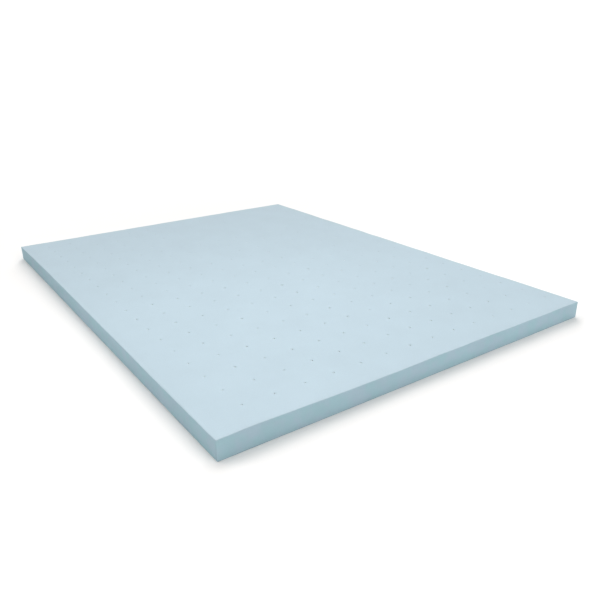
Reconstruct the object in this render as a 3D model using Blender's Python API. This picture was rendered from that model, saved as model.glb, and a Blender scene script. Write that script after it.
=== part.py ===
"""A bare foam mattress topper: one straight-cut slab with a square grid of vent holes.

Metres, +Z up. The slab lies on z = 0 with its width along X and its length along Y.
The origin is the middle of its underside.
"""

import math

import bmesh
import bpy

# The slab as it was cut, a queen size of about 60 by 80 by 2.5 inches.
WIDTH = 1.507
LENGTH = 2.027
THICKNESS = 0.0635
EDGE_ROUNDING = 0.002
EDGE_STEPS = 1
TINY = 0.00001

# The vent holes, on a 4 inch square grid that starts at the front left corner.
HOLE_COLUMNS = 14
HOLE_ROWS = 19
HOLE_PITCH = 0.1016
HOLE_DIAMETER = 0.0055
HOLE_SIDES = 8
FIRST_HOLE_FROM_LEFT = 0.1299
FIRST_HOLE_FROM_FRONT = 0.1023
# The columns lean a little to the left, by this much for each metre they go back.
LEFT_DRIFT_GOING_BACK = 0.0131
# The foam gave under the punches, so the grid is bent too. Each row is one soft pull on it: where its
# middle lies from the front left corner, how far it reaches, and how far it moves the holes there.
PULLS = (
    {"across": -0.10, "back": 1.18, "reach": 0.70, "right": 0.0015, "rearward": 0.0102},
    {"across": 0.52, "back": -0.10, "reach": 0.59, "right": 0.0182, "rearward": 0.0104},
    {"across": 0.29, "back": 0.32, "reach": 0.33, "right": -0.0122, "rearward": -0.0076},
    {"across": 0.94, "back": 0.67, "reach": 0.57, "right": -0.0071, "rearward": -0.0139},
)

# The upper face isn't quite level. Each row is a soft swell or hollow in it: how far its middle lies
# across and back from the front left corner, how far it reaches, and how much thicker the foam is.
RELIEF = (
    {"across": 0.10, "back": 0.00, "reach_across": 0.10, "reach_back": 0.20, "rise": 0.0024},
    {"across": 0.56, "back": 0.00, "reach_across": 0.29, "reach_back": 0.45, "rise": -0.0034},
    {"across": 1.22, "back": 0.00, "reach_across": 0.32, "reach_back": 0.40, "rise": -0.0019},
    {"across": 0.00, "back": 0.15, "reach_across": 0.08, "reach_back": 0.30, "rise": -0.0026},
    {"across": 0.00, "back": 1.48, "reach_across": 0.40, "reach_back": 0.36, "rise": 0.0028},
    {"across": 0.95, "back": 1.15, "reach_across": 0.35, "reach_back": 0.40, "rise": -0.0008},
    {"across": 0.05, "back": 2.03, "reach_across": 0.55, "reach_back": 0.28, "rise": -0.0026},
)

# The colour is linear: a pale blue with a little grey in it.
FOAM_COLOUR = (0.50, 0.61, 0.68, 1.0)
FOAM_ROUGHNESS = 0.92


def clear_scene():
    for old in list(bpy.data.objects):
        bpy.data.objects.remove(old)


def hole_centre(column, row):
    """Where the grid puts a hole. Half steps give the lines midway between the holes."""
    across = FIRST_HOLE_FROM_LEFT + column * HOLE_PITCH
    back = FIRST_HOLE_FROM_FRONT + row * HOLE_PITCH
    x = across - LEFT_DRIFT_GOING_BACK * row * HOLE_PITCH - WIDTH / 2
    y = back - LENGTH / 2
    for pull in PULLS:
        away = math.hypot(across - pull["across"], back - pull["back"]) / pull["reach"]
        share = math.exp(-away * away)
        x += pull["right"] * share
        y += pull["rearward"] * share
    return x, y


def cell_corner(column, row):
    """The corner between four holes, or on the slab's side past the first and last of them."""
    x, y = hole_centre(column - 0.5, row - 0.5)
    if column in (0, HOLE_COLUMNS):
        x = math.copysign(WIDTH / 2, x)
    if row in (0, HOLE_ROWS):
        y = math.copysign(LENGTH / 2, y)
    return x, y


def add_cell(mesh, corners, centre):
    """One cell of the sheet: four faces and four triangles between its corners and the rim of its hole."""
    turn = math.tau / HOLE_SIDES
    rim = []
    for step in range(HOLE_SIDES):
        angle = turn * (step - 0.5)
        x = centre[0] + HOLE_DIAMETER / 2 * math.cos(angle)
        y = centre[1] + HOLE_DIAMETER / 2 * math.sin(angle)
        rim.append(mesh.verts.new((x, y, 0)))
    per_quarter = HOLE_SIDES // 4
    for side in range(4):
        # The rim edge that faces this side, then the edges that turn the corner after it.
        first = per_quarter * side
        start, end = corners[side - 1], corners[side]
        mesh.faces.new((rim[first], start, end, rim[first + 1]))
        for step in range(first + 1, first + per_quarter):
            mesh.faces.new((rim[step], end, rim[(step + 1) % HOLE_SIDES]))


def perforated_sheet(mesh):
    """The outline of the slab as a flat sheet in z = 0, with every hole left open."""
    grid = {}
    for column in range(HOLE_COLUMNS + 1):
        for row in range(HOLE_ROWS + 1):
            grid[column, row] = mesh.verts.new((*cell_corner(column, row), 0))
    for column in range(HOLE_COLUMNS):
        for row in range(HOLE_ROWS):
            # Anticlockwise from the back right corner, so that corners[-1] is the front right one.
            corners = (
                grid[column + 1, row + 1],
                grid[column, row + 1],
                grid[column, row],
                grid[column + 1, row],
            )
            add_cell(mesh, corners, hole_centre(column, row))


def on_outline(vertex):
    from_side = WIDTH / 2 - abs(vertex.co.x)
    from_end = LENGTH / 2 - abs(vertex.co.y)
    return min(from_side, from_end) < TINY


def cut_edges(mesh):
    """The twelve edges of the slab, as the many short ones that the grid divides them into."""
    found = []
    for edge in mesh.edges:
        is_outer = all(on_outline(vertex) for vertex in edge.verts)
        if is_outer and edge.calc_face_angle() > math.radians(45):
            found.append(edge)
    return found


def thickness_at(x, y):
    """The foam's thickness at a point, with every swell and hollow added up."""
    thickness = THICKNESS
    for row in RELIEF:
        across = (x + WIDTH / 2 - row["across"]) / row["reach_across"]
        back = (y + LENGTH / 2 - row["back"]) / row["reach_back"]
        thickness += row["rise"] * math.exp(-across * across - back * back)
    return thickness


def shape_top(mesh):
    """Stretches each point to the thickness there, which leaves the underside flat."""
    for vertex in mesh.verts:
        vertex.co.z *= thickness_at(vertex.co.x, vertex.co.y) / THICKNESS


def slab_mesh():
    mesh = bmesh.new()
    perforated_sheet(mesh)
    raised = bmesh.ops.extrude_face_region(mesh, geom=list(mesh.faces))["geom"]
    top = [item for item in raised if isinstance(item, bmesh.types.BMVert)]
    bmesh.ops.translate(mesh, verts=top, vec=(0, 0, THICKNESS))
    bmesh.ops.recalc_face_normals(mesh, faces=list(mesh.faces))
    bmesh.ops.bevel(
        mesh,
        geom=cut_edges(mesh),
        offset=EDGE_ROUNDING,
        segments=EDGE_STEPS,
        profile=0.5,
        affect="EDGES",
    )
    shape_top(mesh)
    bmesh.ops.triangulate(mesh, faces=list(mesh.faces))
    data = bpy.data.meshes.new("foam_slab")
    mesh.to_mesh(data)
    mesh.free()
    return data


def foam_material():
    material = bpy.data.materials.new("foam")
    material.use_nodes = True
    shader = material.node_tree.nodes["Principled BSDF"]
    shader.inputs["Base Color"].default_value = FOAM_COLOUR
    shader.inputs["Roughness"].default_value = FOAM_ROUGHNESS
    shader.inputs["Metallic"].default_value = 0.0
    return material


def build():
    clear_scene()
    slab = bpy.data.objects.new("foam_slab", slab_mesh())
    slab.data.materials.append(foam_material())
    bpy.context.scene.collection.objects.link(slab)


build()
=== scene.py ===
import math

import bmesh
import bpy
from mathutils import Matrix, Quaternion, Vector, noise


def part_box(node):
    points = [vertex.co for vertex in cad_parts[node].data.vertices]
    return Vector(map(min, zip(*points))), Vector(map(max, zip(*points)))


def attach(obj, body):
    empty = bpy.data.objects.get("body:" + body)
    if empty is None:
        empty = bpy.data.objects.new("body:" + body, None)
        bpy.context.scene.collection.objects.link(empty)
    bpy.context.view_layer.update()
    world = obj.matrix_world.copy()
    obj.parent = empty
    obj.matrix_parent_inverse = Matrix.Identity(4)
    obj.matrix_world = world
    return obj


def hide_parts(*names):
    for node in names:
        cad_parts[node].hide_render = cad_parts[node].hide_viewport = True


# Everything is in metres, +Z up. The slab lies on z = 0, its width along X and its length along Y.
MM = 0.001
TINY = 0.01 * MM

# The photographed frame is square. The lens and the sensor are in mm, and the roll is in degrees.
CAMERA_EYE = (-1.3018, -2.1600, 0.9231)
CAMERA_AIM = (0.0267, -0.2561, 0.0)
CAMERA_LENS = 37.013
CAMERA_SENSOR = 36.0
CAMERA_ROLL = -0.646

# The vent holes, on the same grid as in the CAD slab.
HOLE_COLUMNS = 14
HOLE_ROWS = 19
HOLE_PITCH = 0.1016
HOLE_RADIUS = 2.75 * MM
FIRST_HOLE_FROM_LEFT = 0.1299
FIRST_HOLE_FROM_FRONT = 0.1023
# The columns lean a little to the left, by this much for each metre they go back.
LEFT_DRIFT_GOING_BACK = 0.0131
# Each row is one soft pull on the grid: where its middle lies from the front left corner, how far it
# reaches, and how far it moves the holes there.
PULLS = (
    {"across": -0.10, "back": 1.18, "reach": 0.70, "right": 1.5 * MM, "rearward": 10.2 * MM},
    {"across": 0.52, "back": -0.10, "reach": 0.59, "right": 18.2 * MM, "rearward": 10.4 * MM},
    {"across": 0.29, "back": 0.32, "reach": 0.33, "right": -12.2 * MM, "rearward": -7.6 * MM},
    {"across": 0.94, "back": 0.67, "reach": 0.57, "right": -7.1 * MM, "rearward": -13.9 * MM},
)

# The soft swells and hollows of the upper face, the same as in the CAD slab: where the middle of each
# lies from the front left corner, how far it reaches, and how much thicker the foam is there.
BASE_THICKNESS = 63.5 * MM
RELIEF = (
    {"across": 0.10, "back": 0.00, "reach_across": 0.10, "reach_back": 0.20, "rise": 2.4 * MM},
    {"across": 0.56, "back": 0.00, "reach_across": 0.29, "reach_back": 0.45, "rise": -3.4 * MM},
    {"across": 1.22, "back": 0.00, "reach_across": 0.32, "reach_back": 0.40, "rise": -1.9 * MM},
    {"across": 0.00, "back": 0.15, "reach_across": 0.08, "reach_back": 0.30, "rise": -2.6 * MM},
    {"across": 0.00, "back": 1.48, "reach_across": 0.40, "reach_back": 0.36, "rise": 2.8 * MM},
    {"across": 0.95, "back": 1.15, "reach_across": 0.35, "reach_back": 0.40, "rise": -0.8 * MM},
    {"across": 0.05, "back": 2.03, "reach_across": 0.55, "reach_back": 0.28, "rise": -2.6 * MM},
)

# The mesh of one cell: points along each of its four sides, and so around its hole.
STEPS_PER_SIDE = 5
STEPS_AROUND = 4 * STEPS_PER_SIDE
# The bearing of a cell's first point, its front left corner, seen from its hole.
FIRST_ANGLE = math.radians(225)
# Rings between the outline of a cell and its hole, nearly square outside and nearly round inside.
UPPER_RINGS = (
    {"radius": 28 * MM, "squareness": 0.7},
    {"radius": 12 * MM, "squareness": 0.2},
)
LOWER_RING = {"radius": 10 * MM, "squareness": 0.2}

# The outer edges: their rounding, and a support loop that keeps the flat faces flat.
EDGE_ROUNDING = 2 * MM
EDGE_STEPS = 3
EDGE_SUPPORT = 4 * MM
CORNER_STEPS = 4
SIDE_ROWS = (0.86, 0.70, 0.50, 0.30, 0.14)

# The rim of a hole: a soft lip that closes in a little, in a shallow dimple where the punch pushed.
# Hollow says how much a point belongs to a hole: 0 on the open face, 1 in the throat. It also sets the
# painted pale mouth and the painted shade round it.
HOLLOW = "hollow"
LIP = 0.8 * MM
RIM_CLOSING = 0.5 * MM
DIMPLE_REACH = 5.0 * MM
DIMPLE_DEPTH = 0.6 * MM
# A ring on the slope of the dimple: its place and depth as shares of the dimple's.
SLOPE = {"inward": 0.55, "depth": 0.35, "hollow": 0.4}
# Rings over the lip, from the mouth to the throat: their place and depth as shares of the lip.
RIM_ROWS = (
    {"beyond": 1.0, "depth": 0.0, "hollow": 0.75},
    {"beyond": 0.3, "depth": 0.3, "hollow": 0.90},
    {"beyond": 0.0, "depth": 1.0, "hollow": 1.00},
)
# Rows down the wall of a hole: the height as a share of the slab's, how far it closes in there as a
# share of the rim's closing, and how pale the foam is painted there, as painted light.
WALL_ROWS = (
    {"height": 0.95, "closing": 1.0, "hollow": 1.00},
    {"height": 0.84, "closing": 0.5, "hollow": 0.92},
    {"height": 0.50, "closing": 0.0, "hollow": 0.80},
    {"height": 0.12, "closing": 0.5, "hollow": 0.80},
)

# How unlike each other the holes are: share of the radius, raggedness of the rim, and wander of the
# axis. Each pattern of noise has so many waves to the metre, across and up.
HOLE_VARIETY = 0.45
VARIETY_PER_METRE = 23
RIM_RAGGEDNESS = 0.09
RAGGED_PER_METRE = 700
RAGGED_PER_METRE_UP = 60
WALL_WANDER = 0.35 * MM
WANDER_PER_METRE = 9
WANDER_PER_METRE_UP = 25

# How far the saw and the soft foam leave the faces from true, and the length of those waves.
TOP_WAVER = 0.35 * MM
TOP_RIPPLE = 0.2 * TOP_WAVER
TOP_WAVE = 0.16
EDGE_WAVER = 0.9 * MM
EDGE_WAVE = 0.08
EDGE_WAVER_REACH = 0.05
SIDE_WAVER = 0.55 * MM
SIDE_RIPPLE = 0.6 * SIDE_WAVER
SIDE_WAVE = 0.07
SIDE_WAVER_REACH = 0.035
# The slow waves of a side are drawn out along it, and its ripples are squashed in height.
SIDE_SLOW_STRETCH = 2.5
SIDE_RIPPLE_SQUASH = 1.6

# Any far apart numbers do here: each picks another pattern out of the same noise.
VARIETY_PATTERN = 77
WANDER_Y_PATTERN = Vector((31, 7, 3))
TOP_PATTERN = 5
TOP_RIPPLE_PATTERN = 11
SIDE_PATTERN_X = 20
SIDE_PATTERN_Y = 40
SIDE_RIPPLE_PATTERN = 9

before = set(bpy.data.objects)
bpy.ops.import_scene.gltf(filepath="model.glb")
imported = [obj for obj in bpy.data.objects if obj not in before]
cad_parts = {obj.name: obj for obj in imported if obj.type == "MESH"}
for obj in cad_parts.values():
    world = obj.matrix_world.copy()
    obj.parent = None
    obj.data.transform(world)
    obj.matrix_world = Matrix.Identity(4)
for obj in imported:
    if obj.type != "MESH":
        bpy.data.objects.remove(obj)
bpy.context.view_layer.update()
slab_low, slab_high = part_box("foam_slab")
WIDTH = slab_high[0] - slab_low[0]
LENGTH = slab_high[1] - slab_low[1]


# ---- The slab's mesh ----


def hole_centre(column, row):
    """Where the grid puts a hole. Half steps give the lines midway between the holes."""
    across = FIRST_HOLE_FROM_LEFT + column * HOLE_PITCH
    back = FIRST_HOLE_FROM_FRONT + row * HOLE_PITCH
    x = across - LEFT_DRIFT_GOING_BACK * row * HOLE_PITCH - WIDTH / 2
    y = back - LENGTH / 2
    for pull in PULLS:
        away = math.hypot(across - pull["across"], back - pull["back"]) / pull["reach"]
        share = math.exp(-away * away)
        x += pull["right"] * share
        y += pull["rearward"] * share
    return x, y


def cell_corner(column, row):
    """The corner between four holes, or on the outermost support loop of the flat faces."""
    inset = EDGE_ROUNDING + EDGE_SUPPORT
    x, y = hole_centre(column - 0.5, row - 0.5)
    if column in (0, HOLE_COLUMNS):
        x = math.copysign(WIDTH / 2 - inset, x)
    if row in (0, HOLE_ROWS):
        y = math.copysign(LENGTH / 2 - inset, y)
    return x, y


def between(start, end):
    """The points from start up to, but not including, end."""
    points = []
    for step in range(STEPS_PER_SIDE):
        share = step / STEPS_PER_SIDE
        x = start[0] + (end[0] - start[0]) * share
        y = start[1] + (end[1] - start[1]) * share
        points.append((x, y))
    return points


def cell_outline(column, row):
    front_left = cell_corner(column, row)
    front_right = cell_corner(column + 1, row)
    back_right = cell_corner(column + 1, row + 1)
    back_left = cell_corner(column, row + 1)
    return (
        between(front_left, front_right)
        + between(front_right, back_right)
        + between(back_right, back_left)
        + between(back_left, front_left)
    )


def ring(centre, outline, radius, squareness):
    """Points round a hole, from a circle at squareness 0 to the outline of its cell, made smaller, at 1."""
    points = []
    shrink = radius / (HOLE_PITCH / 2)
    for step, corner in enumerate(outline):
        angle = FIRST_ANGLE + math.tau * step / STEPS_AROUND
        round_x = radius * math.cos(angle)
        round_y = radius * math.sin(angle)
        square_x = (corner[0] - centre[0]) * shrink
        square_y = (corner[1] - centre[1]) * shrink
        x = centre[0] + round_x + (square_x - round_x) * squareness
        y = centre[1] + round_y + (square_y - round_y) * squareness
        points.append((x, y))
    return points


def hole_radius(centre):
    """Soft foam closes up a little round some holes, and less round others."""
    place = Vector((centre[0] * VARIETY_PER_METRE, centre[1] * VARIETY_PER_METRE, VARIETY_PATTERN))
    return HOLE_RADIUS * (1 + HOLE_VARIETY * noise.noise(place))


def ragged(points, centre, height):
    """Moves the points of a rim in or out a little, as torn foam cells do."""
    moved = []
    for x, y in points:
        place = Vector((x * RAGGED_PER_METRE, y * RAGGED_PER_METRE, height * RAGGED_PER_METRE_UP))
        scale = 1 + RIM_RAGGEDNESS * noise.noise(place)
        moved.append((centre[0] + (x - centre[0]) * scale, centre[1] + (y - centre[1]) * scale))
    return moved


def wandered(centre, height):
    """A hole's axis at some height: a punch never goes quite straight through soft foam."""
    across = centre[0] * WANDER_PER_METRE
    back = centre[1] * WANDER_PER_METRE
    place = Vector((across, back, height * WANDER_PER_METRE_UP))
    x = centre[0] + WALL_WANDER * noise.noise(place)
    y = centre[1] + WALL_WANDER * noise.noise(place + WANDER_Y_PATTERN)
    return x, y


def add_ring(mesh, points, height, hollow=0.0):
    """A ring of points. How far each belongs to a hole is kept for the material."""
    layer = mesh.verts.layers.float[HOLLOW]
    made = []
    for x, y in points:
        vertex = mesh.verts.new((x, y, height))
        vertex[layer] = hollow
        made.append(vertex)
    return made


def add_band(mesh, outer, inner):
    count = len(outer)
    for step in range(count):
        after = (step + 1) % count
        mesh.faces.new((outer[step], outer[after], inner[after], inner[step]))


def rim_rings(centre, outline, level, inward):
    """(points, height, hollow) round the rim of a hole: its mouth, its soft lip and its throat."""
    radius = hole_radius(centre) - RIM_CLOSING
    rings = []
    for row in RIM_ROWS:
        points = ragged(ring(centre, outline, radius + row["beyond"] * LIP, 0), centre, level)
        rings.append((points, level + inward * row["depth"] * LIP, row["hollow"]))
    return rings


def upper_rings(centre, outline):
    """(points, height, hollow) on the upper face, from the cell's outline in to the throat of its hole."""
    rings = [(outline, BASE_THICKNESS, 0)]
    for row in UPPER_RINGS:
        rings.append((ring(centre, outline, row["radius"], row["squareness"]), BASE_THICKNESS, 0))
    dimple = hole_radius(centre) + LIP + DIMPLE_REACH
    rings.append((ring(centre, outline, dimple, 0), BASE_THICKNESS, 0))
    slope = ring(centre, outline, dimple - SLOPE["inward"] * DIMPLE_REACH, 0)
    rings.append((slope, BASE_THICKNESS - SLOPE["depth"] * DIMPLE_DEPTH, SLOPE["hollow"]))
    return rings + rim_rings(centre, outline, BASE_THICKNESS - DIMPLE_DEPTH, -1)


def lower_rings(centre, outline):
    """(points, height, hollow) on the flat underside, from the throat of the hole out to the outline."""
    middle = ring(centre, outline, LOWER_RING["radius"], LOWER_RING["squareness"])
    rings = [(outline, 0, 0), (middle, 0, 0)]
    return reversed(rings + rim_rings(centre, outline, 0, 1))


def wall_rings(centre, outline):
    """(points, height, hollow) down the wall of a hole."""
    rings = []
    for row in WALL_ROWS:
        height = BASE_THICKNESS * row["height"]
        radius = hole_radius(centre) - RIM_CLOSING * row["closing"]
        axis = wandered(centre, height)
        moved = [(x + axis[0] - centre[0], y + axis[1] - centre[1]) for x, y in outline]
        points = ragged(ring(axis, moved, radius, 0), axis, height)
        rings.append((points, height, row["hollow"]))
    return rings


def add_cell(mesh, column, row):
    """One square of the slab with its hole: down the upper face, through, and out again below."""
    centre = hole_centre(column, row)
    outline = cell_outline(column, row)
    rings = upper_rings(centre, outline)
    rings += wall_rings(centre, outline)
    rings += lower_rings(centre, outline)
    made = [add_ring(mesh, *row) for row in rings]
    for outer, inner in zip(made, made[1:]):
        add_band(mesh, outer, inner)


def outer_loop():
    """(x, y, normal) once round the support loop, anticlockwise, with each corner fanned out."""
    sides = (
        [(cell_corner(c, 0), cell_corner(c + 1, 0)) for c in range(HOLE_COLUMNS)],
        [(cell_corner(HOLE_COLUMNS, r), cell_corner(HOLE_COLUMNS, r + 1)) for r in range(HOLE_ROWS)],
        [(cell_corner(c + 1, HOLE_ROWS), cell_corner(c, HOLE_ROWS)) for c in reversed(range(HOLE_COLUMNS))],
        [(cell_corner(0, r + 1), cell_corner(0, r)) for r in reversed(range(HOLE_ROWS))],
    )
    loop = []
    for quarter, side in enumerate(sides):
        facing = math.radians(-90 + 90 * quarter)
        normal = (math.cos(facing), math.sin(facing))
        points = []
        for start, end in side:
            points += [(x, y, normal) for x, y in between(start, end)]
        first = points[0]
        for step in range(CORNER_STEPS):
            turned = facing - math.radians(90) * (1 - step / CORNER_STEPS)
            loop.append((first[0], first[1], (math.cos(turned), math.sin(turned))))
        loop += points
    return loop


def loop_at(loop, inset, outward):
    """The loop moved out to an inset from the slab's sides, then along its normals."""
    edge_x = WIDTH / 2 - EDGE_ROUNDING - EDGE_SUPPORT
    edge_y = LENGTH / 2 - EDGE_ROUNDING - EDGE_SUPPORT
    points = []
    for x, y, normal in loop:
        if abs(abs(x) - edge_x) < TINY:
            x = math.copysign(WIDTH / 2 - inset, x)
        if abs(abs(y) - edge_y) < TINY:
            y = math.copysign(LENGTH / 2 - inset, y)
        points.append((x + normal[0] * outward, y + normal[1] * outward))
    return points


def rounding_rings(loop, is_top):
    """(points, height) round one outer edge, from the flat face to the start of the side."""
    rings = []
    for step in range(EDGE_STEPS + 1):
        angle = math.radians(90) * step / EDGE_STEPS
        outward = EDGE_ROUNDING * math.sin(angle)
        drop = EDGE_ROUNDING * (1 - math.cos(angle))
        height = BASE_THICKNESS - drop if is_top else drop
        rings.append((loop_at(loop, EDGE_ROUNDING, outward), height))
    return rings


def add_sides(mesh):
    """The four sides with their rounded edges, between the support loops of the two faces."""
    loop = outer_loop()
    support = loop_at(loop, EDGE_ROUNDING + EDGE_SUPPORT, 0)
    rings = [(support, BASE_THICKNESS)]
    rings += rounding_rings(loop, True)
    for share in SIDE_ROWS:
        rings.append((loop_at(loop, EDGE_ROUNDING, EDGE_ROUNDING), BASE_THICKNESS * share))
    rings += reversed(rounding_rings(loop, False))
    rings.append((support, 0))
    made = [add_ring(mesh, *row) for row in rings]
    for upper, lower in zip(made, made[1:]):
        add_band(mesh, lower, upper)


def thickness_at(x, y):
    """The foam's thickness at a point, with every swell and hollow added up."""
    thickness = BASE_THICKNESS
    for row in RELIEF:
        across = (x + WIDTH / 2 - row["across"]) / row["reach_across"]
        back = (y + LENGTH / 2 - row["back"]) / row["reach_back"]
        thickness += row["rise"] * math.exp(-across * across - back * back)
    return thickness


def top_waver(x, y):
    """How far the upper face stands out of true, most of all along its edges."""
    slow = noise.noise(Vector((x / TOP_WAVE, y / TOP_WAVE, TOP_PATTERN)))
    quick = noise.noise(Vector((x / EDGE_WAVE, y / EDGE_WAVE, TOP_RIPPLE_PATTERN)))
    from_edge = min(WIDTH / 2 - abs(x), LENGTH / 2 - abs(y))
    near_edge = max(0, 1 - from_edge / EDGE_WAVER_REACH)
    return TOP_WAVER * slow + (TOP_RIPPLE + EDGE_WAVER * near_edge * near_edge) * quick


def side_waver(along, height, pattern):
    """How far a sawn side stands out of true at a point along it."""
    along = along / SIDE_WAVE
    height = height / SIDE_WAVE
    slow = Vector((along / SIDE_SLOW_STRETCH, height, pattern))
    quick = Vector((along, height * SIDE_RIPPLE_SQUASH, pattern + SIDE_RIPPLE_PATTERN))
    return SIDE_WAVER * noise.noise(slow) + SIDE_RIPPLE * noise.noise(quick)


def make_uneven(mesh):
    """Gives the true slab its swells and hollows, and the waver that soft foam takes from a saw."""
    for vertex in mesh.verts:
        x, y, z = vertex.co
        near_side = max(0, 1 - (WIDTH / 2 - abs(x)) / SIDE_WAVER_REACH)
        near_end = max(0, 1 - (LENGTH / 2 - abs(y)) / SIDE_WAVER_REACH)
        out_x = near_side * near_side * side_waver(y, z, math.copysign(SIDE_PATTERN_X, x))
        out_y = near_end * near_end * side_waver(x, z, math.copysign(SIDE_PATTERN_Y, y))
        vertex.co.x = x + out_x * math.copysign(1, x)
        vertex.co.y = y + out_y * math.copysign(1, y)
        vertex.co.z = z * (thickness_at(x, y) + top_waver(x, y)) / BASE_THICKNESS


def foam_mesh():
    mesh = bmesh.new()
    mesh.verts.layers.float.new(HOLLOW)
    for column in range(HOLE_COLUMNS):
        for row in range(HOLE_ROWS):
            add_cell(mesh, column, row)
    add_sides(mesh)
    bmesh.ops.remove_doubles(mesh, verts=list(mesh.verts), dist=TINY)
    make_uneven(mesh)
    bmesh.ops.recalc_face_normals(mesh, faces=list(mesh.faces))
    data = bpy.data.meshes.new("foam_topper")
    mesh.to_mesh(data)
    mesh.free()
    data.shade_smooth()
    return data


# ---- Materials ----

# Linear colours. The sides are painted a shade deeper and more teal than the two faces: painted shade by
# which way a surface faces, on one foam colour.
FACE_COLOUR = (0.451, 0.558, 0.622, 1)
SHADED_SIDE_COLOUR = (0.378, 0.508, 0.584, 1)
SHADED_SIDE_COLOUR_TEAL = (0.346, 0.515, 0.572, 1)
# The mouth of a hole is painted paler, painted light for the light that thin foam lets through, and the
# face round it is painted darker, a painted shade ring.
MOUTH_PAINTED_LIGHT = (0.800, 0.855, 0.885, 1)
HOLE_PAINTED_SHADE = 0.055
# How squarely a surface looks up or down where it starts to count as a face, and where it wholly does.
FACE_FROM = 0.35
FACE_TO = 0.85
# The hollow at which the wall of a hole starts to be painted paler, as painted light.
PALE_FROM = 0.8
# Noises of the foam, in waves to the metre. What they do to its shade is the lowest and highest factor.
CLOUD = {"scale": 9, "detail": 3}
CLOUD_SHADE = (0.985, 1.015)
BLOTCH = {"scale": 26, "detail": 2}
GRAIN = {"scale": 420, "detail": 2}
GRAIN_SHADE = (0.982, 1.018)
GRAIN_ROUGHNESS = (0.88, 0.97)
CELL_SIZE = 1.5 * MM
CELL_SHADE = (0.972, 1.016)
# Saw marks run along the sides, so they are many in height and few along.
SAW_MARKS = (6, 6, 520)
# Where most values of a noise lie, and the narrower span of the blotches, which gives them soft edges.
# The cells have theirs in shares of their own size.
NOISE_RANGE = (0.3, 0.7)
BLOTCH_RANGE = (0.38, 0.62)
CELL_RANGE = (0.1, 0.7)
# The bumps of the foam: how deep and how strong they are, and the share of each kind in them.
BUMP_DEPTH = 0.35 * MM
BUMP_STRENGTH = 0.55
CELL_BUMPS = 0.55
GRAIN_BUMPS = 0.45
SAW_BUMPS = 0.35
FOAM_SHEEN = 0.25

WHITE = (1, 1, 1, 1)
FLOOR_COLOUR = (0.950, 0.932, 0.917, 1)
# The floor's own glow: how far out it starts and stops growing, and how strong it is from there on.
GLOW_FROM = 1.1
GLOW_TO = 3.5
FAR_GLOW = 0.15
# The floor reaches this far each way, and lies this much under the slab so that the two don't touch.
FLOOR_HALF_WIDTH = 30
FLOOR_DROP = 0.2 * MM


class Nodes:
    """A small helper that adds nodes to a material and links them."""

    def __init__(self, material):
        self.tree = material.node_tree

    def add(self, kind, settings=None, **inputs):
        node = self.tree.nodes.new(kind)
        for name, value in (settings or {}).items():
            setattr(node, name, value)
        for name, value in inputs.items():
            self.put(node.inputs[name.replace("_", " ")], value)
        return node

    def put(self, socket, value):
        if isinstance(value, bpy.types.NodeSocket):
            self.tree.links.new(value, socket)
        else:
            socket.default_value = value

    def math(self, operation, first, second=0.0):
        node = self.add("ShaderNodeMath", {"operation": operation})
        self.put(node.inputs[0], first)
        self.put(node.inputs[1], second)
        return node.outputs[0]

    def mix(self, factor, first, second, blend="MIX"):
        node = self.add("ShaderNodeMix", {"data_type": "RGBA", "blend_type": blend})
        self.put(node.inputs[0], factor)
        self.put(node.inputs[6], first)
        self.put(node.inputs[7], second)
        return node.outputs[2]

    def ramp(self, value, span, to_span=(0, 1)):
        """Maps a span of values to another, and holds what lies outside it at its ends."""
        node = self.add("ShaderNodeMapRange", Value=value, From_Min=span[0], From_Max=span[1])
        self.put(node.inputs["To Min"], to_span[0])
        self.put(node.inputs["To Max"], to_span[1])
        return node.outputs[0]

    def noise(self, where, scale, detail):
        return self.add("ShaderNodeTexNoise", Vector=where, Scale=scale, Detail=detail).outputs["Fac"]

    def stretched(self, where, scale):
        return self.add("ShaderNodeMapping", Vector=where, Scale=scale).outputs["Vector"]


def new_material(name):
    material = bpy.data.materials.new(name)
    material.use_nodes = True
    return material, material.node_tree.nodes["Principled BSDF"]


def foam_colour(nodes, where, is_face, hollow):
    """One colour for the faces, two deeper ones for the sides as painted shade, and a paler one in the
    mouth of a hole as painted light.
    """
    blotch = nodes.ramp(nodes.noise(where, **BLOTCH), BLOTCH_RANGE)
    # Painted shade: the sides are deeper and more teal than the faces, by which way the surface faces.
    side = nodes.mix(blotch, SHADED_SIDE_COLOUR, SHADED_SIDE_COLOUR_TEAL)
    # Painted light: the mouth of a hole is painted pale.
    side = nodes.mix(nodes.ramp(hollow, (PALE_FROM, 1)), side, MOUTH_PAINTED_LIGHT)
    return nodes.mix(is_face, side, FACE_COLOUR)


def foam_shade(nodes, where, is_face, hollow, grain, pores):
    """A grey to multiply the colour by: cloudiness, grain and pores, and a painted shade ring round holes.
    """
    shade = nodes.ramp(nodes.noise(where, **CLOUD), NOISE_RANGE, CLOUD_SHADE)
    # Painted shade: the face round a hole is painted darker.
    painted_shade = nodes.math("MULTIPLY", is_face, hollow)
    shade = nodes.math("MULTIPLY", shade, nodes.ramp(painted_shade, (0, 1), (1, 1 - HOLE_PAINTED_SHADE)))
    shade = nodes.math("MULTIPLY", shade, nodes.ramp(grain, NOISE_RANGE, GRAIN_SHADE))
    shade = nodes.math("MULTIPLY", shade, nodes.ramp(pores, CELL_RANGE, CELL_SHADE))
    return nodes.add("ShaderNodeCombineColor", Red=shade, Green=shade, Blue=shade).outputs["Color"]


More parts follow.
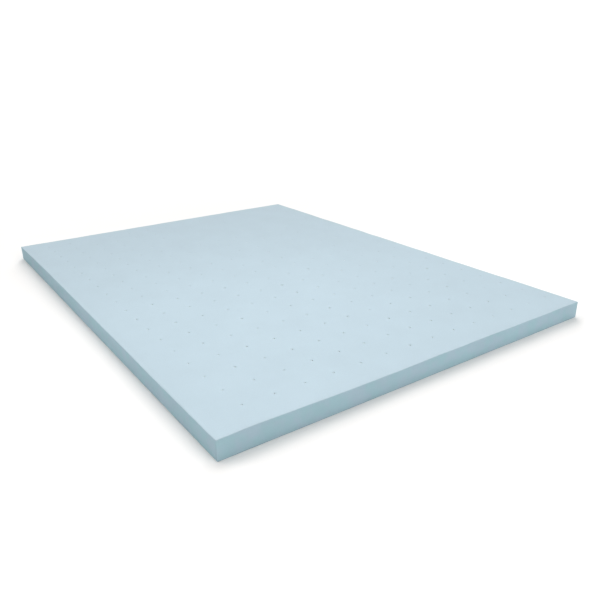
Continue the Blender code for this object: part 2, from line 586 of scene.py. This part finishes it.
def foam_bumps(nodes, where, is_face, grain, pores):
    """Pores and grain all over, and saw marks on the sides."""
    saw = nodes.noise(nodes.stretched(where, SAW_MARKS), scale=1, detail=2)
    saw_depth = nodes.math("MULTIPLY", nodes.math("SUBTRACT", 1, is_face), saw)
    height = nodes.math("MULTIPLY", pores, CELL_BUMPS)
    height = nodes.math("ADD", height, nodes.math("MULTIPLY", grain, GRAIN_BUMPS))
    height = nodes.math("ADD", height, nodes.math("MULTIPLY", saw_depth, SAW_BUMPS))
    bump = nodes.add("ShaderNodeBump", Height=height, Strength=BUMP_STRENGTH, Distance=BUMP_DEPTH)
    return bump.outputs["Normal"]


def foam_material():
    """Open-cell foam: fine pores, a faint cloudiness, sides painted deeper and more teal as painted shade,
    and holes with a painted pale mouth and a painted shade ring.
    """
    material, shader = new_material("foam")
    nodes = Nodes(material)
    place = nodes.add("ShaderNodeTexCoord")
    where = place.outputs["Object"]
    facing = nodes.add("ShaderNodeSeparateXYZ", Vector=place.outputs["Normal"]).outputs["Z"]
    is_face = nodes.ramp(nodes.math("ABSOLUTE", facing), (FACE_FROM, FACE_TO))
    hollow = nodes.add("ShaderNodeAttribute", {"attribute_name": HOLLOW}).outputs["Fac"]
    pores = nodes.add("ShaderNodeTexVoronoi", Vector=where, Scale=1 / CELL_SIZE).outputs["Distance"]
    grain = nodes.noise(where, **GRAIN)

    colour = foam_colour(nodes, where, is_face, hollow)
    shade = foam_shade(nodes, where, is_face, hollow, grain, pores)
    nodes.put(shader.inputs["Base Color"], nodes.mix(1, colour, shade, "MULTIPLY"))
    nodes.put(shader.inputs["Roughness"], nodes.ramp(grain, NOISE_RANGE, GRAIN_ROUGHNESS))
    nodes.put(shader.inputs["Normal"], foam_bumps(nodes, where, is_face, grain, pores))
    shader.inputs["Specular IOR Level"].default_value = FOAM_SHEEN
    return material


def floor_material():
    """A pale floor that burns out to plain white well away from the slab."""
    material, shader = new_material("studio_floor")
    nodes = Nodes(material)
    where = nodes.add("ShaderNodeTexCoord").outputs["Object"]
    distance = nodes.add("ShaderNodeVectorMath", {"operation": "LENGTH"}, Vector=where).outputs["Value"]
    shader.inputs["Emission Color"].default_value = WHITE
    glow = nodes.ramp(distance, (GLOW_FROM, GLOW_TO), (0, FAR_GLOW))
    nodes.put(shader.inputs["Emission Strength"], glow)
    shader.inputs["Base Color"].default_value = FLOOR_COLOUR
    shader.inputs["Roughness"].default_value = 1
    shader.inputs["Specular IOR Level"].default_value = 0
    return material


# ---- Objects ----


def add_object(name, data):
    thing = bpy.data.objects.new(name, data)
    bpy.context.scene.collection.objects.link(thing)
    return thing


def add_foam():
    foam = add_object("foam_topper", foam_mesh())
    foam.data.materials.append(foam_material())
    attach(foam, "root")
    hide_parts("foam_slab")


def add_floor():
    half = FLOOR_HALF_WIDTH
    data = bpy.data.meshes.new("studio_floor")
    corners = ((-half, -half, 0), (half, -half, 0), (half, half, 0), (-half, half, 0))
    data.from_pydata(corners, [], [(0, 1, 2, 3)])
    floor = add_object("studio_floor", data)
    floor.location.z = -FLOOR_DROP
    floor.data.materials.append(floor_material())


# ---- Light and camera ----

WORLD_FILL = 0.2
BACKDROP_WHITE = 1.1
# Distant soft lights, in degrees. A bearing is where the light comes from, clockwise from +Y.
SOFT_SUNS = (
    {"name": "high_back", "bearing": 35, "height": 60, "spread": 50, "strength": 0.362},
    {"name": "low_back", "bearing": 35, "height": 20, "spread": 30, "strength": 0.458},
    {"name": "back_left", "bearing": 330, "height": 40, "spread": 40, "strength": 0.117},
    {"name": "left", "bearing": 305, "height": 30, "spread": 40, "strength": 0.180},
    {"name": "front_right", "bearing": 170, "height": 40, "spread": 50, "strength": 0.296},
)
# Round soft lamps: where each one hangs, the point it shines at, how wide it is and its power.
SOFT_LAMPS = (
    {"name": "over_middle", "at": (-0.3, -0.4, 1.2), "to": (-0.3, -0.4, 0), "size": 1.0, "watts": 3.06},
    {"name": "over_right", "at": (0.9, -0.3, 1.2), "to": (0.9, -0.3, 0), "size": 0.8, "watts": 0.85},
    {"name": "over_corner", "at": (-0.8, -1.3, 0.7), "to": (-0.8, -1.3, 0), "size": 0.5, "watts": 0.56},
    {"name": "low_front", "at": (0.5, -2.4, 0.7), "to": (0.5, -1.0, 0), "size": 0.6, "watts": 4.32},
    {"name": "low_left", "at": (-2.0, 0.5, 0.5), "to": (-0.75, 0.4, 0), "size": 0.6, "watts": 0.40},
    {"name": "near_left", "at": (-1.7, -0.3, 0.35), "to": (-0.75, -0.2, 0), "size": 0.4, "watts": 0.71},
)


def face_along(thing, direction):
    """Turns a light so that it shines against this direction."""
    thing.rotation_mode = "QUATERNION"
    thing.rotation_quaternion = direction.to_track_quat("Z", "Y")


def add_sun(row):
    light = bpy.data.lights.new(row["name"], "SUN")
    light.energy = math.pi * row["strength"]
    light.angle = math.radians(row["spread"])
    bearing = math.radians(row["bearing"])
    height = math.radians(row["height"])
    level = math.cos(height)
    towards = Vector((math.sin(bearing) * level, math.cos(bearing) * level, math.sin(height)))
    face_along(add_object(row["name"], light), towards)


def add_lamp(row):
    light = bpy.data.lights.new(row["name"], "AREA")
    light.shape = "DISK"
    light.size = row["size"]
    light.energy = row["watts"]
    lamp = add_object(row["name"], light)
    lamp.visible_camera = False
    lamp.location = row["at"]
    face_along(lamp, Vector(row["at"]) - Vector(row["to"]))


def add_world():
    """A dim even fill, and plain white behind the floor where the camera sees past it."""
    world = bpy.data.worlds.new("studio")
    world.use_nodes = True
    tree = world.node_tree
    fill = tree.nodes["Background"]
    fill.inputs["Color"].default_value = WHITE
    fill.inputs["Strength"].default_value = WORLD_FILL
    backdrop = tree.nodes.new("ShaderNodeBackground")
    backdrop.inputs["Color"].default_value = WHITE
    backdrop.inputs["Strength"].default_value = BACKDROP_WHITE
    path = tree.nodes.new("ShaderNodeLightPath")
    mix = tree.nodes.new("ShaderNodeMixShader")
    tree.links.new(path.outputs["Is Camera Ray"], mix.inputs[0])
    tree.links.new(fill.outputs[0], mix.inputs[1])
    tree.links.new(backdrop.outputs[0], mix.inputs[2])
    tree.links.new(mix.outputs[0], tree.nodes["World Output"].inputs["Surface"])
    bpy.context.scene.world = world


def add_camera():
    lens = bpy.data.cameras.new("camera")
    lens.lens = CAMERA_LENS
    lens.sensor_width = CAMERA_SENSOR
    camera = add_object("camera", lens)
    eye = Vector(CAMERA_EYE)
    level = (Vector(CAMERA_AIM) - eye).to_track_quat("-Z", "Y")
    camera.rotation_mode = "QUATERNION"
    camera.rotation_quaternion = level @ Quaternion((0, 0, 1), math.radians(CAMERA_ROLL))
    camera.location = eye
    bpy.context.scene.camera = camera


scene = bpy.context.scene
scene.view_settings.view_transform = "Standard"
scene.view_settings.look = "None"
add_camera()
add_foam()
add_floor()
add_world()
for sun in SOFT_SUNS:
    add_sun(sun)
for lamp in SOFT_LAMPS:
    add_lamp(lamp)
